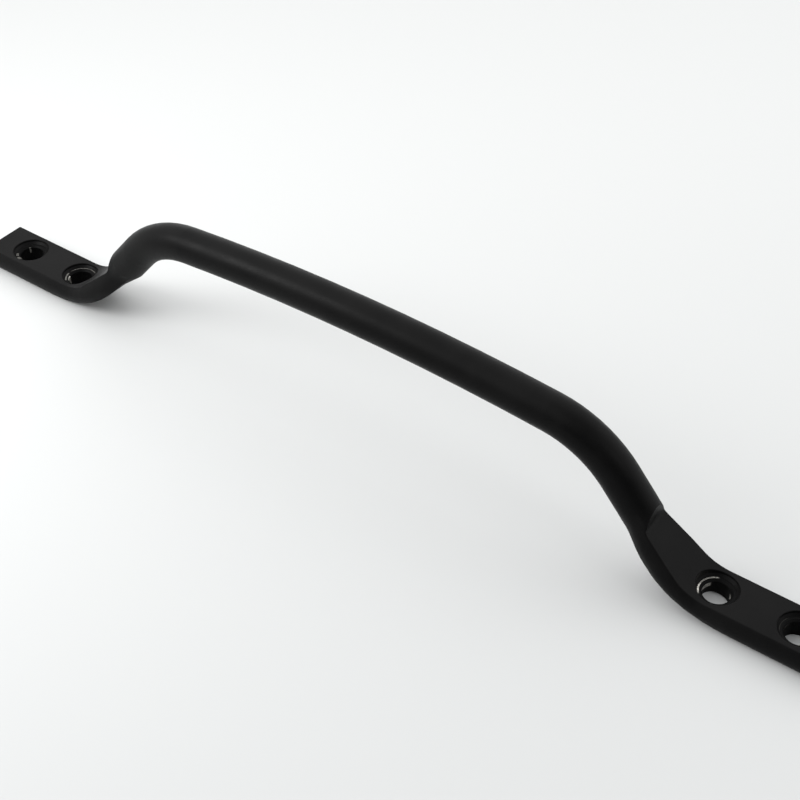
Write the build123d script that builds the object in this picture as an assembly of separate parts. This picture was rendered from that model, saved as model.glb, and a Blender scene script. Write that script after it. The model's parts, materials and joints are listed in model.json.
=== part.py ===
from build123d import *
import os
from math import cos, radians, sin, sqrt, tan

# A solid round steel bar, bent to a shallow hand grip. Both ends are forged flat as feet, each with two
# recessed bolt holes, and the whole bar is dipped in a thick black coat that stops at the bolt holes.
# Millimetres, +Z up. X runs along the grip, and the feet rest on Z = 0 on either side of the origin.

# Driving dimensions of the finished, coated rail
BAR_DIAMETER = 16.0
COAT = 0.6                  # thickness of the dipped coat
GRIP_RADIUS = 995.0         # slow bow of the grip, at the bar's centreline
GRIP_ANGLE = 5.2            # slope at each end of the grip, degrees
CROWN_RADIUS = 46.2         # bend from grip to leg
LEG_ANGLE = 49.4            # slope of the leg, degrees
LEG_LENGTH = 26.0           # straight part of the leg
INSTEP_RADIUS = 49.2        # bend from leg to foot
FOOT_LENGTH = 42.4          # straight part of the foot
FOOT_WIDTH = 24.4
FOOT_THICKNESS = 10.0
SOLE_RISE = 2.7             # how far the forging lifts the underside above the round bar's

# The forging's flat top: a shoulder cut into the leg, a sloping tread, and the foot's level top
SHOULDER_AT = 21.2          # where the shoulder meets the tread, from the top of the straight leg
SHOULDER_RUN = 5.8          # length of the shoulder along the leg
SHOULDER_HEIGHT = 3.0       # the tread's height over the centreline, where the shoulder meets it
SHOULDER_BLEND = 3.0        # hollow radius at the foot of the shoulder
TREAD_SLOPE = 40.1          # degrees
TREAD_RADIUS = 20.0         # hollow radius between the tread and the foot's top

# How the forging spreads and flattens, measured along the centreline
SOLE_LEAD = 8.1             # the underside starts to flatten this far above the shoulder
SOLE_BLEND = 13.6           # length over which it flattens
WIDENING_LEAD = 1.3         # it starts to spread this far above the shoulder
WIDENING = 29.0             # length over which it spreads to full width
WIDENING_POWER = 1.8        # how early it spreads
TOP_EDGE = 1.9              # the flat top is narrower than the foot's middle by this on each side
SOLE_EDGE = 1.9             # and so is the flat underside
SPARE = 1.0                 # the flanks carry on this far inside the top corners, to be trimmed
LEG_STATIONS = 3            # sections between the round bar and the shoulder
BEND_STATIONS = 8           # sections along the instep

# Bolt holes, measured along the foot from its tip
HOLE_FROM_TIP = 19.0
HOLE_PITCH = 33.0
HOLE_RADIUS = 5.5
RECESS_RADIUS = 8.35
RECESS_CONE = 1.1           # height of the recess's sloping wall
LAND_RADIUS = 7.3           # outer edge of the bare steel ring at the bottom of the recess
LAND_DEPTH = 2.0            # below the foot's top
MOUTH_RADIUS = 6.3          # the ring's inner edge, where the bore's chamfer starts
MOUTH_DEPTH = 0.7

# The coat's rounded edges
EDGE_RADIUS = 0.5           # trimmed top, sole and tip
RIM_RADIUS = 0.4            # recesses

# Worked out from the above
BAR_RADIUS = BAR_DIAMETER / 2
SOLE = SOLE_RISE - BAR_RADIUS            # the foot's underside, from the centreline
CROWN_HEIGHT = (
    -SOLE
    + GRIP_RADIUS * (1 - cos(radians(GRIP_ANGLE)))
    + CROWN_RADIUS * (cos(radians(GRIP_ANGLE)) - cos(radians(LEG_ANGLE)))
    + LEG_LENGTH * sin(radians(LEG_ANGLE))
    + INSTEP_RADIUS * (1 - cos(radians(LEG_ANGLE)))
)


def centreline():
    """Half of the bar's centreline in the XZ plane: grip, crown, leg, instep and foot."""
    grip = JernArc((0, CROWN_HEIGHT), (1, 0), GRIP_RADIUS, -GRIP_ANGLE)
    crown = JernArc(grip @ 1, grip % 1, CROWN_RADIUS, GRIP_ANGLE - LEG_ANGLE)
    leg = Line(crown @ 1, (crown @ 1) + (crown % 1) * LEG_LENGTH)
    instep = JernArc(leg @ 1, leg % 1, INSTEP_RADIUS, LEG_ANGLE)
    foot = Line(instep @ 1, (instep @ 1) + (instep % 1) * FOOT_LENGTH)
    return [Plane.XZ * edge for edge in (grip, crown, leg, instep, foot)]


def across(edge, distance):
    """Plane square to the bar at a distance along one edge: local x is +Y, local y points up from the bar."""
    at = distance / edge.length
    return Plane(origin=edge @ at, x_dir=(0, 1, 0), z_dir=edge % at)


GRIP, CROWN, LEG, INSTEP, FOOT = centreline()
TIP = (FOOT @ 1).X
HOLES = [TIP - HOLE_FROM_TIP - HOLE_PITCH, TIP - HOLE_FROM_TIP]
SHOULDER = across(LEG, SHOULDER_AT)
SHOULDER_FOOT = SHOULDER.origin + SHOULDER.y_dir * SHOULDER_HEIGHT
SLOPE = radians(TREAD_SLOPE)
TREAD_END = SHOULDER_FOOT.X + (SHOULDER_FOOT.Z - FOOT_THICKNESS) / tan(SLOPE)
HOLLOW_END = TREAD_END + TREAD_RADIUS * tan(SLOPE / 2)
HOLLOW_START = HOLLOW_END - TREAD_RADIUS * sin(SLOPE)


def top_surface(x):
    """Height of the forging's flat top: sloping tread, hollow bend, level foot."""
    if x < HOLLOW_START:
        return SHOULDER_FOOT.Z - (x - SHOULDER_FOOT.X) * tan(SLOPE)
    if x < HOLLOW_END:
        return FOOT_THICKNESS + TREAD_RADIUS - sqrt(TREAD_RADIUS**2 - (HOLLOW_END - x) ** 2)
    return FOOT_THICKNESS


def top_height(plane):
    """How far the flat top lies above the centreline, measured square to the bar, by halving."""
    low, high = 0.0, BAR_RADIUS
    while high - low > 1e-6:
        middle = (low + high) / 2
        point = plane.origin + plane.y_dir * middle
        if point.Z < top_surface(point.X):
            low = middle
        else:
            high = middle
    return low


def smooth(x):
    x = min(max(x, 0.0), 1.0)
    return x * x * (3 - 2 * x)


def blend(start, end, share):
    return start * (1 - share) + end * share


def circle_through(a, b, c):
    """Centre and radius of the circle through three points in a section's plane."""
    d = 2 * (a[0] * (b[1] - c[1]) + b[0] * (c[1] - a[1]) + c[0] * (a[1] - b[1]))
    squares = [p[0] ** 2 + p[1] ** 2 for p in (a, b, c)]
    x = (squares[0] * (b[1] - c[1]) + squares[1] * (c[1] - a[1]) + squares[2] * (a[1] - b[1])) / d
    y = (squares[0] * (c[0] - b[0]) + squares[1] * (a[0] - c[0]) + squares[2] * (b[0] - a[0])) / d
    return x, y, sqrt((a[0] - x) ** 2 + (a[1] - y) ** 2)


def flank(from_shoulder, inset, top):
    """Points down one side of the forging: top corner, widest point, heel, and the middle of the underside."""
    share = (from_shoulder + WIDENING_LEAD) / WIDENING
    spread = 1 - (1 - min(max(share, 0), 1)) ** WIDENING_POWER
    flatten = smooth((from_shoulder + SOLE_LEAD) / SOLE_BLEND)
    radius = BAR_RADIUS - inset
    round_heel = radius * cos(radians(45))
    half = blend(radius, FOOT_WIDTH / 2 - inset, spread)
    corner = (blend(sqrt(radius**2 - top**2), FOOT_WIDTH / 2 - inset - TOP_EDGE, spread), top)
    widest = (half, flatten * (SOLE + inset + top) / 2)
    heel = (half - blend(radius - round_heel, SOLE_EDGE, flatten), blend(-round_heel, SOLE + inset, flatten))
    return corner, widest, heel, (0, blend(-radius, SOLE + inset, flatten))


def section(from_shoulder, inset, top):
    """Untrimmed section: its flanks carry on past the top corners to a domed top, for the die to trim."""
    corner, widest, heel, bottom = flank(from_shoulder, inset, top)
    x, y, radius = circle_through(corner, widest, heel)
    past = corner[0] - SPARE
    above = (past, y + sqrt(radius**2 - (past - x) ** 2))
    far_above, far_widest, far_heel = [(-p[0], p[1]) for p in (above, widest, heel)]
    outline = ThreePointArc(far_above, (0, BAR_RADIUS - inset), above)
    outline += ThreePointArc(above, widest, heel)
    if bottom[1] == heel[1]:
        outline += Line(heel, far_heel)
    else:
        outline += ThreePointArc(heel, bottom, far_heel)
    outline += ThreePointArc(far_heel, far_widest, far_above)
    return make_face(outline)


def stations():
    """Planes down the forging, each with its distance from the shoulder."""
    down_leg = [SHOULDER_AT - SOLE_LEAD * n / LEG_STATIONS for n in range(LEG_STATIONS, -1, -1)]
    planes = [(across(LEG, d), d - SHOULDER_AT) for d in down_leg + [LEG.length]]
    for n in range(1, BEND_STATIONS + 1):
        d = INSTEP.length * n / BEND_STATIONS
        planes.append((across(INSTEP, d), LEG.length - SHOULDER_AT + d))
    return planes


def round_bar(inset):
    """Grip, crown and the leg down to where the forging starts."""
    upper_leg = Line(LEG @ 0, LEG @ ((SHOULDER_AT - SOLE_LEAD) / LEG.length))
    path = Wire([GRIP, CROWN, upper_leg])
    return sweep(Plane.YZ * Pos(0, CROWN_HEIGHT) * Circle(BAR_RADIUS - inset), path=path)


def forging(inset):
    """From the round leg through the instep to the foot's full width, before its top is trimmed."""
    return loft([plane * section(s, inset, top_height(plane) - inset) for plane, s in stations()])


def foot(inset):
    """The straight foot at full width, before its top is trimmed."""
    end = across(FOOT, 0)
    fully_spread = WIDENING + SOLE_BLEND
    return extrude(end * section(fully_spread, inset, top_height(end) - inset), FOOT_LENGTH - inset)


def die(inset):
    """Prism that trims the forging's top: shoulder, tread and foot, joined by hollow radii."""
    up_the_leg = SHOULDER.y_dir * (BAR_RADIUS - SHOULDER_HEIGHT) - SHOULDER.z_dir * SHOULDER_RUN
    start = SHOULDER_FOOT + up_the_leg * 2
    beyond = TIP + BAR_DIAMETER
    corners = [(start.X, start.Z), (SHOULDER_FOOT.X, SHOULDER_FOOT.Z)]
    corners += [(TREAD_END, FOOT_THICKNESS), (beyond, FOOT_THICKNESS)]
    outline = FilletPolyline(*corners, radius=[SHOULDER_BLEND, TREAD_RADIUS])
    outline += Polyline(corners[-1], (beyond, start.Z), corners[0])
    face = make_face(outline)
    if inset:
        face = offset(face, inset)
    return extrude(Plane.XZ * face, FOOT_WIDTH, both=True)


def bolt_hole(inset):
    """Cutter for one hole; the recess in the steel is wider than in the coat by the coat's thickness."""
    land = FOOT_THICKNESS - LAND_DEPTH
    top = FOOT_THICKNESS + BAR_DIAMETER
    profile = Polyline(
        (0, -1),
        (HOLE_RADIUS, -1),
        (HOLE_RADIUS, land - MOUTH_DEPTH),
        (MOUTH_RADIUS, land),
        (LAND_RADIUS + inset, land),
        (RECESS_RADIUS + inset, land + RECESS_CONE),
        (RECESS_RADIUS + inset, top),
        (0, top),
        (0, -1),
    )
    return revolve(Plane.XZ * make_face(profile), Axis.Z)


def trimmed(inset, edge_radius):
    """Half of the bar without its holes: the die trims the forging's top, and the edges are rounded."""
    tall = round_bar(inset) + forging(inset) + foot(inset)
    body = tall - die(inset)
    if edge_radius == 0:
        return body
    cut = new_edges(tall, die(inset), combined=body).filter_by(Axis.Y, reverse=True)
    tip = body.edges().group_by(Axis.X)[-1]
    sole = body.faces().filter_by(Axis.Z).sort_by(Axis.Z)[0].edges().filter_by(Axis.X)
    return fillet(cut + tip + sole, edge_radius)


def drilled(body, inset, rim_radius):
    """The half bar with its two bolt holes, and the recesses' rims rounded."""
    cutters = [Pos(x, 0, 0) * bolt_hole(inset) for x in HOLES]
    bored = body - cutters[0] - cutters[1]
    if rim_radius == 0:
        return bored
    rims = new_edges(body, *cutters, combined=bored).filter_by_position(Axis.Z, FOOT_THICKNESS, BAR_DIAMETER)
    return fillet(rims, rim_radius)


def whole_bar(inset, edge_radius, rim_radius):
    half = drilled(trimmed(inset, edge_radius), inset, rim_radius)
    return half + mirror(half, Plane.YZ)


steel_bar = whole_bar(COAT, 0, 0)
black_coat = whole_bar(0, EDGE_RADIUS, RIM_RADIUS) - steel_bar

os.makedirs("parts", exist_ok=True)
export_step(steel_bar, "parts/steel_bar.step")
export_step(black_coat, "parts/black_coat.step")
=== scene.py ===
import json
from math import cos, radians, sin

import bpy
from mathutils import Matrix, Vector

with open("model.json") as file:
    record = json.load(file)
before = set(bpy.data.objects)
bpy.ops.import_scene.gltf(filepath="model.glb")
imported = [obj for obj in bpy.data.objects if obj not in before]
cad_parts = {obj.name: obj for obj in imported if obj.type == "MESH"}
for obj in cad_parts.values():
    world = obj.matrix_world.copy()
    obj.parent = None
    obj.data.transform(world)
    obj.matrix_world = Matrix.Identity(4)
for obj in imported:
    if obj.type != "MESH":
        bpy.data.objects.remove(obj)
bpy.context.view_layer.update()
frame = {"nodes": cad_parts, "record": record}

# Lengths are in metres and colours in linear light.
MILLIMETRE = 0.001

# Camera: an orbit round a point near the right half of the rail
AZIMUTH = radians(36.18)       # from straight in front (-Y) towards +X
ELEVATION = radians(41.82)
ROLL = radians(-0.32)
DISTANCE = 0.6009
TARGET = Vector((0.01639, 0.00552, 0.02147))
SENSOR = 36                    # millimetres
LENS = 65.52                   # millimetres
CLIP_START = 0.01

# The floor's colour is painted a little darker towards the camera: painted shade where the studio light
# falls off
FLOOR_FAR = (0.68, 0.69, 0.687)
FLOOR_NEAR_PAINTED_SHADE = (0.56, 0.569, 0.569)
FLOOR_FADE = 0.3               # either side of the rail's middle
FLOOR_REACH = 6.0              # from its middle to each side
FLOOR_ROUGH = 0.7
FLOOR_SPECULAR = 0.2

# The studio's dome: direction of each soft light, the cosines of the angle to it where it fades in and
# is full, its strength. The second is the pale horizon behind the floor's edge.
LOBES = [
    (Vector((0, 0, 1)), 0.3, 1.0, 0.6),
    (Vector((0, 0, -1)), -0.15, 0.03, 0.75),
    (Vector((-0.45, 0.7, 0.6)), 0.35, 0.98, 1.3),
    (Vector((-0.65, -0.5, 0.57)), 0.6, 0.98, 1.6),
    (Vector((0.72, 0.62, 0.32)), 0.75, 0.98, 1.5),
]

# Soft boxes: name, azimuth and elevation in degrees, distance, side, watts
SOFT_BOXES = [
    ("right", 85, 38, 1.7, 0.5, 2.2),
    ("left", -54.7, 34.3, 0.51, 0.2, 0.9),
]

# Noise: how many finer layers it has, and the two of its values that are spread to the full range
SOFT, FINE, FINEST = 2, 3, 4
NOISE_LOW, NOISE_HIGH = 0.3, 0.7

# The coat
COAT_DARK = (0.0028, 0.0028, 0.0029)
COAT_PALE = (0.0050, 0.0049, 0.0049)
COAT_ROUGH = 0.42
COAT_ROUGH_VARIES = 0.04       # either way
COAT_SPECULAR = 0.066
CLOUD = 0.02                   # size of the faint cloudiness
PEEL = 0.0022                  # size of the orange peel
PEEL_DEPTH = 0.00001
GRAIN = 0.0007                 # size of the fine grain
GRAIN_DEPTH = 0.00003
POLISH = 0.08                  # how much smoother the handled grip is, in patches
PATCH = 0.009                  # size of the patches
PATCH_LOW = 0.35               # noise value where a patch starts
HANDLED_FROM, HANDLED_TO = 0.04, 0.058    # heights between which the polish starts

# Steel inside the bolt holes
STEEL = (0.66, 0.64, 0.59)
STEEL_ROUGH = 0.24
RESIDUE = (0.003, 0.003, 0.003)
RESIDUE_ROUGH = 0.5
RESIDUE_SPECULAR = 0.05
RING = 0.00022                 # pitch of the turning marks
RING_DEPTH = 0.00001
RING_ROUGH = 0.05              # roughness varies by this either way along with them
FLECK = 0.0007                 # size of the flecks of black left on the bare steel
FLECK_LOW, FLECK_HIGH = 0.35, 0.55        # noise values where flecks end and bare steel starts
FLECK_BARE = 0.35              # how bare a fleck is
HOLE_REACH = 0.0095            # the holes' own surfaces lie within this of their axes
REACH_FADE = 0.95              # share of the reach where a patch's outer fade ends
ANGLE_FADE = 0.7               # share of a patch's half width where its sideways fade ends
BAND_FADE = 0.00015            # fade on either side of a patch's other limits

# Bare patches of each hole, left to right: direction from the hole's axis and half width in degrees,
# nearest to the axis, lowest and highest point, how bare
WORN = [
    [
        (225, 9, 0.0062, 0.0077, 0.0083, 0.25),
        (252, 9, 0.0052, 0.0070, 0.0081, 0.25),
        (146, 5, 0.0052, 0.0046, 0.0075, 0.25),
    ],
    [
        (118, 62, 0.0069, 0.0077, 0.0081, 0.25),
        (216, 19, 0.0052, 0.0030, 0.0076, 0.8),
        (210, 26, 0.0066, 0.0078, 0.0084, 0.3),
    ],
    [
        (166, 60, 0.0067, 0.0078, 0.0082, 1.0),
        (174, 40, 0.0052, 0.0052, 0.0070, 0.8),
        (38, 8, 0.0052, 0.0030, 0.0056, 0.8),
    ],
    [
        (178, 36, 0.0071, 0.0078, 0.0082, 0.06),
        (172, 25, 0.0052, 0.0060, 0.0070, 0.05),
    ],
]


scene = bpy.context.scene
scene.view_settings.view_transform = "Standard"


def orbit(azimuth, elevation):
    """Unit vector from the target towards an azimuth and elevation."""
    return Vector((sin(azimuth) * cos(elevation), -cos(azimuth) * cos(elevation), sin(elevation)))


def add_camera():
    data = bpy.data.cameras.new("camera")
    data.sensor_width = SENSOR
    data.lens = LENS
    data.clip_start = CLIP_START
    camera = bpy.data.objects.new("camera", data)
    scene.collection.objects.link(camera)
    back = orbit(AZIMUTH, ELEVATION)
    right = Vector((cos(AZIMUTH), sin(AZIMUTH), 0))
    up = back.cross(right)
    rolled_right = right * cos(ROLL) + up * sin(ROLL)
    rolled_up = up * cos(ROLL) - right * sin(ROLL)
    turn = Matrix((rolled_right, rolled_up, back)).transposed().to_4x4()
    camera.matrix_world = Matrix.Translation(TARGET + back * DISTANCE) @ turn
    scene.camera = camera


def add_soft_box(name, azimuth, elevation, distance, side, watts):
    """A square soft box that faces the target and isn't seen itself."""
    data = bpy.data.lights.new(name, "AREA")
    data.shape = "RECTANGLE"
    data.size = side
    data.size_y = side
    data.energy = watts
    light = bpy.data.objects.new(name, data)
    scene.collection.objects.link(light)
    away = orbit(radians(azimuth), radians(elevation))
    light.location = TARGET + away * distance
    light.rotation_euler = away.to_track_quat("Z", "Y").to_euler()
    light.visible_camera = False


# Node helpers

def new_material(name):
    """A material with its node tree and its shader."""
    mat = bpy.data.materials.new(name)
    mat.use_nodes = True
    return mat, mat.node_tree, mat.node_tree.nodes["Principled BSDF"]


def feed(tree, node, inputs):
    """Fill a node's inputs from numbers, vectors or other nodes' outputs."""
    for key, value in inputs.items():
        if isinstance(value, bpy.types.NodeSocket):
            tree.links.new(value, node.inputs[key])
        else:
            node.inputs[key].default_value = value


def maths(tree, operation, *values):
    """A sum on one or two values; further ones are taken in from left to right."""
    node = tree.nodes.new("ShaderNodeMath")
    node.operation = operation
    feed(tree, node, dict(enumerate(values[:2])))
    result = node.outputs["Value"]
    if values[2:]:
        return maths(tree, operation, result, *values[2:])
    return result


def ramp(tree, value, low, high, start=0.0, end=1.0):
    """Smooth step from start to end as value goes from low to high."""
    node = tree.nodes.new("ShaderNodeMapRange")
    node.interpolation_type = "SMOOTHSTEP"
    feed(tree, node, {"Value": value, "From Min": low, "From Max": high, "To Min": start, "To Max": end})
    return node.outputs["Result"]


def noise(tree, place, size, detail):
    """Noise between 0 and 1 whose features are about size across."""
    node = tree.nodes.new("ShaderNodeTexNoise")
    feed(tree, node, {"Vector": place, "Scale": 1 / size, "Detail": detail})
    return node.outputs["Fac"]


def mixed(tree, share, first, second):
    """A colour between two, by share."""
    node = tree.nodes.new("ShaderNodeMix")
    node.data_type = "RGBA"
    sockets = {socket.identifier: socket for socket in [*node.inputs, *node.outputs]}
    tree.links.new(share, sockets["Factor_Float"])
    sockets["A_Color"].default_value = (*first, 1)
    sockets["B_Color"].default_value = (*second, 1)
    return sockets["Result_Color"]


def bumped(tree, height, distance, normal=None):
    """Normal of a surface raised by up to distance where height is 1."""
    node = tree.nodes.new("ShaderNodeBump")
    feed(tree, node, {"Height": height, "Distance": distance})
    if normal:
        tree.links.new(normal, node.inputs["Normal"])
    return node.outputs["Normal"]


def place_in(tree):
    """Where a point is, as a vector and as its X, Y and Z."""
    place = tree.nodes.new("ShaderNodeTexCoord").outputs["Object"]
    split = tree.nodes.new("ShaderNodeSeparateXYZ")
    tree.links.new(place, split.inputs["Vector"])
    return place, split.outputs["X"], split.outputs["Y"], split.outputs["Z"]


def along(tree, x, y, angle):
    """How far a point lies in one level direction, given in radians from +X."""
    return maths(
        tree,
        "ADD",
        maths(tree, "MULTIPLY", x, cos(angle)),
        maths(tree, "MULTIPLY", y, sin(angle)),
    )


def from_axis(tree, x, y):
    """Distance from an upright axis."""
    squares = [maths(tree, "POWER", value, 2.0) for value in (x, y)]
    return maths(tree, "SQRT", maths(tree, "ADD", *squares))


# The studio

def add_floor():
    mesh = bpy.data.meshes.new("floor")
    r = FLOOR_REACH
    mesh.from_pydata([(-r, -r, 0), (r, -r, 0), (r, r, 0), (-r, r, 0)], [], [(0, 1, 2, 3)])
    floor = bpy.data.objects.new("floor", mesh)
    scene.collection.objects.link(floor)
    mat, tree, shader = new_material("floor_with_painted_shade")
    _, x, y, _ = place_in(tree)
    towards_camera = along(tree, x, y, AZIMUTH - radians(90))
    # Painted shade: the floor's colour darkens towards the camera to stand in for the light falling off
    # there
    pale = mixed(tree, ramp(tree, towards_camera, -FLOOR_FADE, FLOOR_FADE), FLOOR_FAR, FLOOR_NEAR_PAINTED_SHADE)
    feed(tree, shader, {"Base Color": pale, "Roughness": FLOOR_ROUGH, "Specular IOR Level": FLOOR_SPECULAR})
    mesh.materials.append(mat)


def lobe(tree, direction, low, high, strength):
    """Light from one side of the dome."""
    coordinates = tree.nodes.new("ShaderNodeTexCoord").outputs["Generated"]
    dot = tree.nodes.new("ShaderNodeVectorMath")
    dot.operation = "DOT_PRODUCT"
    feed(tree, dot, {0: coordinates, 1: direction.normalized()})
    return ramp(tree, dot.outputs["Value"], low, high, 0.0, strength)


def add_world():
    world = bpy.data.worlds.new("studio")
    world.use_nodes = True
    tree = world.node_tree
    total = maths(tree, "ADD", *[lobe(tree, *each) for each in LOBES])
    feed(tree, tree.nodes["Background"], {"Color": (1, 1, 1, 1), "Strength": total})
    scene.world = world


# The rail's two materials

def black_coat():
    """Dipped soft black: faint cloudiness, orange peel, fine grain, and polished patches on the grip."""
    mat, tree, shader = new_material("black_coat")
    place, _, _, z = place_in(tree)
    cloud = ramp(tree, noise(tree, place, CLOUD, FINE), NOISE_LOW, NOISE_HIGH)
    grain = noise(tree, place, GRAIN, FINE)
    matt = ramp(
        tree, grain, NOISE_LOW, NOISE_HIGH, COAT_ROUGH - COAT_ROUGH_VARIES, COAT_ROUGH + COAT_ROUGH_VARIES
    )
    handled = ramp(tree, z, HANDLED_FROM, HANDLED_TO)
    patches = ramp(tree, noise(tree, place, PATCH, FINEST), PATCH_LOW, NOISE_HIGH)
    polish = maths(tree, "MULTIPLY", handled, patches, POLISH)
    peel = bumped(tree, noise(tree, place, PEEL, SOFT), PEEL_DEPTH)
    feed(tree, shader, {
        "Base Color": mixed(tree, cloud, COAT_DARK, COAT_PALE),
        "Roughness": maths(tree, "SUBTRACT", matt, polish),
        "Specular IOR Level": COAT_SPECULAR,
        "Normal": bumped(tree, grain, GRAIN_DEPTH, peel),
    })
    return mat


def bolt_holes():
    """Centres of the four holes along X, left to right, from the record's two bolt patterns."""
    patterns = [mount for mount in frame["record"]["mounts"] if mount["kind"] == "bolt_pattern"]
    half = patterns[0]["dims"]["spacing_x_mm"] * MILLIMETRE / 2
    return sorted(mount["pos_m"][0] + side * half for mount in patterns for side in (-1, 1))


def worn_patch(tree, x, y, z, hole, patch):
    """How bare one patch of a hole is: its strength inside, 0 elsewhere."""
    angle, half_width, nearest, low, high, strength = patch
    from_hole = maths(tree, "SUBTRACT", x, hole)
    radius = from_axis(tree, from_hole, y)
    cosine = maths(tree, "DIVIDE", along(tree, from_hole, y, radians(angle)), radius)
    edge, full = [cos(radians(half_width * share)) for share in (1, ANGLE_FADE)]
    return maths(
        tree,
        "MULTIPLY",
        strength,
        ramp(tree, cosine, edge, full),
        ramp(tree, radius, HOLE_REACH, HOLE_REACH * REACH_FADE),
        ramp(tree, radius, nearest - BAND_FADE, nearest + BAND_FADE),
        ramp(tree, z, low - BAND_FADE, low + BAND_FADE),
        ramp(tree, z, high + BAND_FADE, high - BAND_FADE),
    )


def turning_marks(tree, x, y, z, holes):
    """Noise that is the same all the way round the axis of the nearest hole."""
    inner, outer = holes[2:]
    from_middle = maths(tree, "SUBTRACT", maths(tree, "ABSOLUTE", x), (inner + outer) / 2)
    from_hole = maths(tree, "SUBTRACT", maths(tree, "ABSOLUTE", from_middle), (outer - inner) / 2)
    around = tree.nodes.new("ShaderNodeCombineXYZ")
    feed(tree, around, {"X": from_axis(tree, from_hole, y), "Z": z})
    return noise(tree, around.outputs["Vector"], RING, SOFT)


def turned_steel():
    """Steel in the bolt holes: blackened by the dip, with bare turned metal where it has rubbed off."""
    mat, tree, shader = new_material("turned_steel")
    place, x, y, z = place_in(tree)
    holes = bolt_holes()
    patches = [
        worn_patch(tree, x, y, z, hole, patch) for hole, worn in zip(holes, WORN) for patch in worn
    ]
    worn = maths(tree, "MAXIMUM", *patches)
    flecks = ramp(tree, noise(tree, place, FLECK, FINE), FLECK_LOW, FLECK_HIGH, FLECK_BARE, 1.0)
    bare = maths(tree, "MULTIPLY", worn, flecks)
    rings = turning_marks(tree, x, y, z, holes)
    rough = ramp(tree, bare, 0.0, 1.0, RESIDUE_ROUGH, STEEL_ROUGH)
    streaks = ramp(tree, rings, NOISE_LOW, NOISE_HIGH, -RING_ROUGH, RING_ROUGH)
    feed(tree, shader, {
        "Base Color": mixed(tree, bare, RESIDUE, STEEL),
        "Metallic": bare,
        "Roughness": maths(tree, "ADD", rough, streaks),
        "Specular IOR Level": RESIDUE_SPECULAR,
        "Normal": bumped(tree, rings, RING_DEPTH),
    })
    return mat


def dress(node, material):
    """Give a CAD node its material; its mesh stays as it is."""
    for slot in frame["nodes"][node].material_slots:
        slot.link = "OBJECT"
        slot.material = material


dress("black_coat", black_coat())
dress("steel_bar", turned_steel())
add_camera()
add_world()
add_floor()
for soft_box in SOFT_BOXES:
    add_soft_box(*soft_box)
